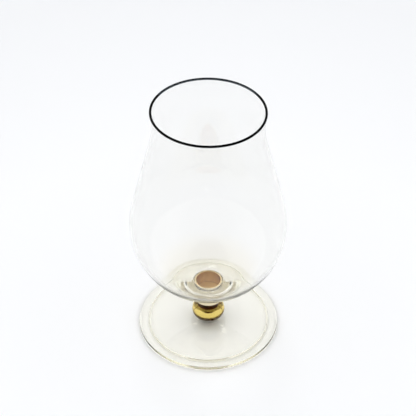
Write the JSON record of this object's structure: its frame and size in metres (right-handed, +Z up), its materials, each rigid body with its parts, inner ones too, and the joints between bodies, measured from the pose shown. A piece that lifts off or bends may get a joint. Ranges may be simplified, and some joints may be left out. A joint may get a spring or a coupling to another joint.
{
  "type": "oil lamp",
  "caption": "Table oil lamp: clear tulip glass bowl with a lift-out metal burner in a well in its floor, on an amber glass neck, knop and folded round foot.",
  "frame": {"origin": "on the lamp's axis, on the surface that the foot stands on", "axes": "+Z up along the lamp's axis; +X through one of the wick plate's two fill holes"},
  "size_m": [0.1258, 0.1258, 0.22],
  "materials": {
    "amber_glass": "fire-polished",
    "clear_glass": "fire-polished",
    "bronzed_brass": "satin",
    "polished_brass": "polished",
    "wick_fibre": "woven"
  },
  "bodies": {
    "lamp": {"foot": "amber_glass", "knop": "amber_glass", "neck": "amber_glass", "bowl": "clear_glass"},
    "burner": {"burner_cup": "bronzed_brass", "cup_collar": "polished_brass"},
    "plate": {"wick_plate": "bronzed_brass", "wick_tube": "polished_brass"},
    "wick": {"wick": "wick_fibre"}
  },
  "joints": [
    {"name": "burner_lift", "type": "slide", "parent": "lamp", "child": "burner", "axis": [0, 0, 1], "range_m": [0, 0.2]},
    {"name": "plate_lift", "type": "slide", "parent": "burner", "child": "plate", "axis": [0, 0, 1], "range_m": [0, 0.2]},
    {"name": "wick_slide", "type": "slide", "parent": "plate", "child": "wick", "axis": [0, 0, 1], "range_m": [0, 0.004]}
  ]
}
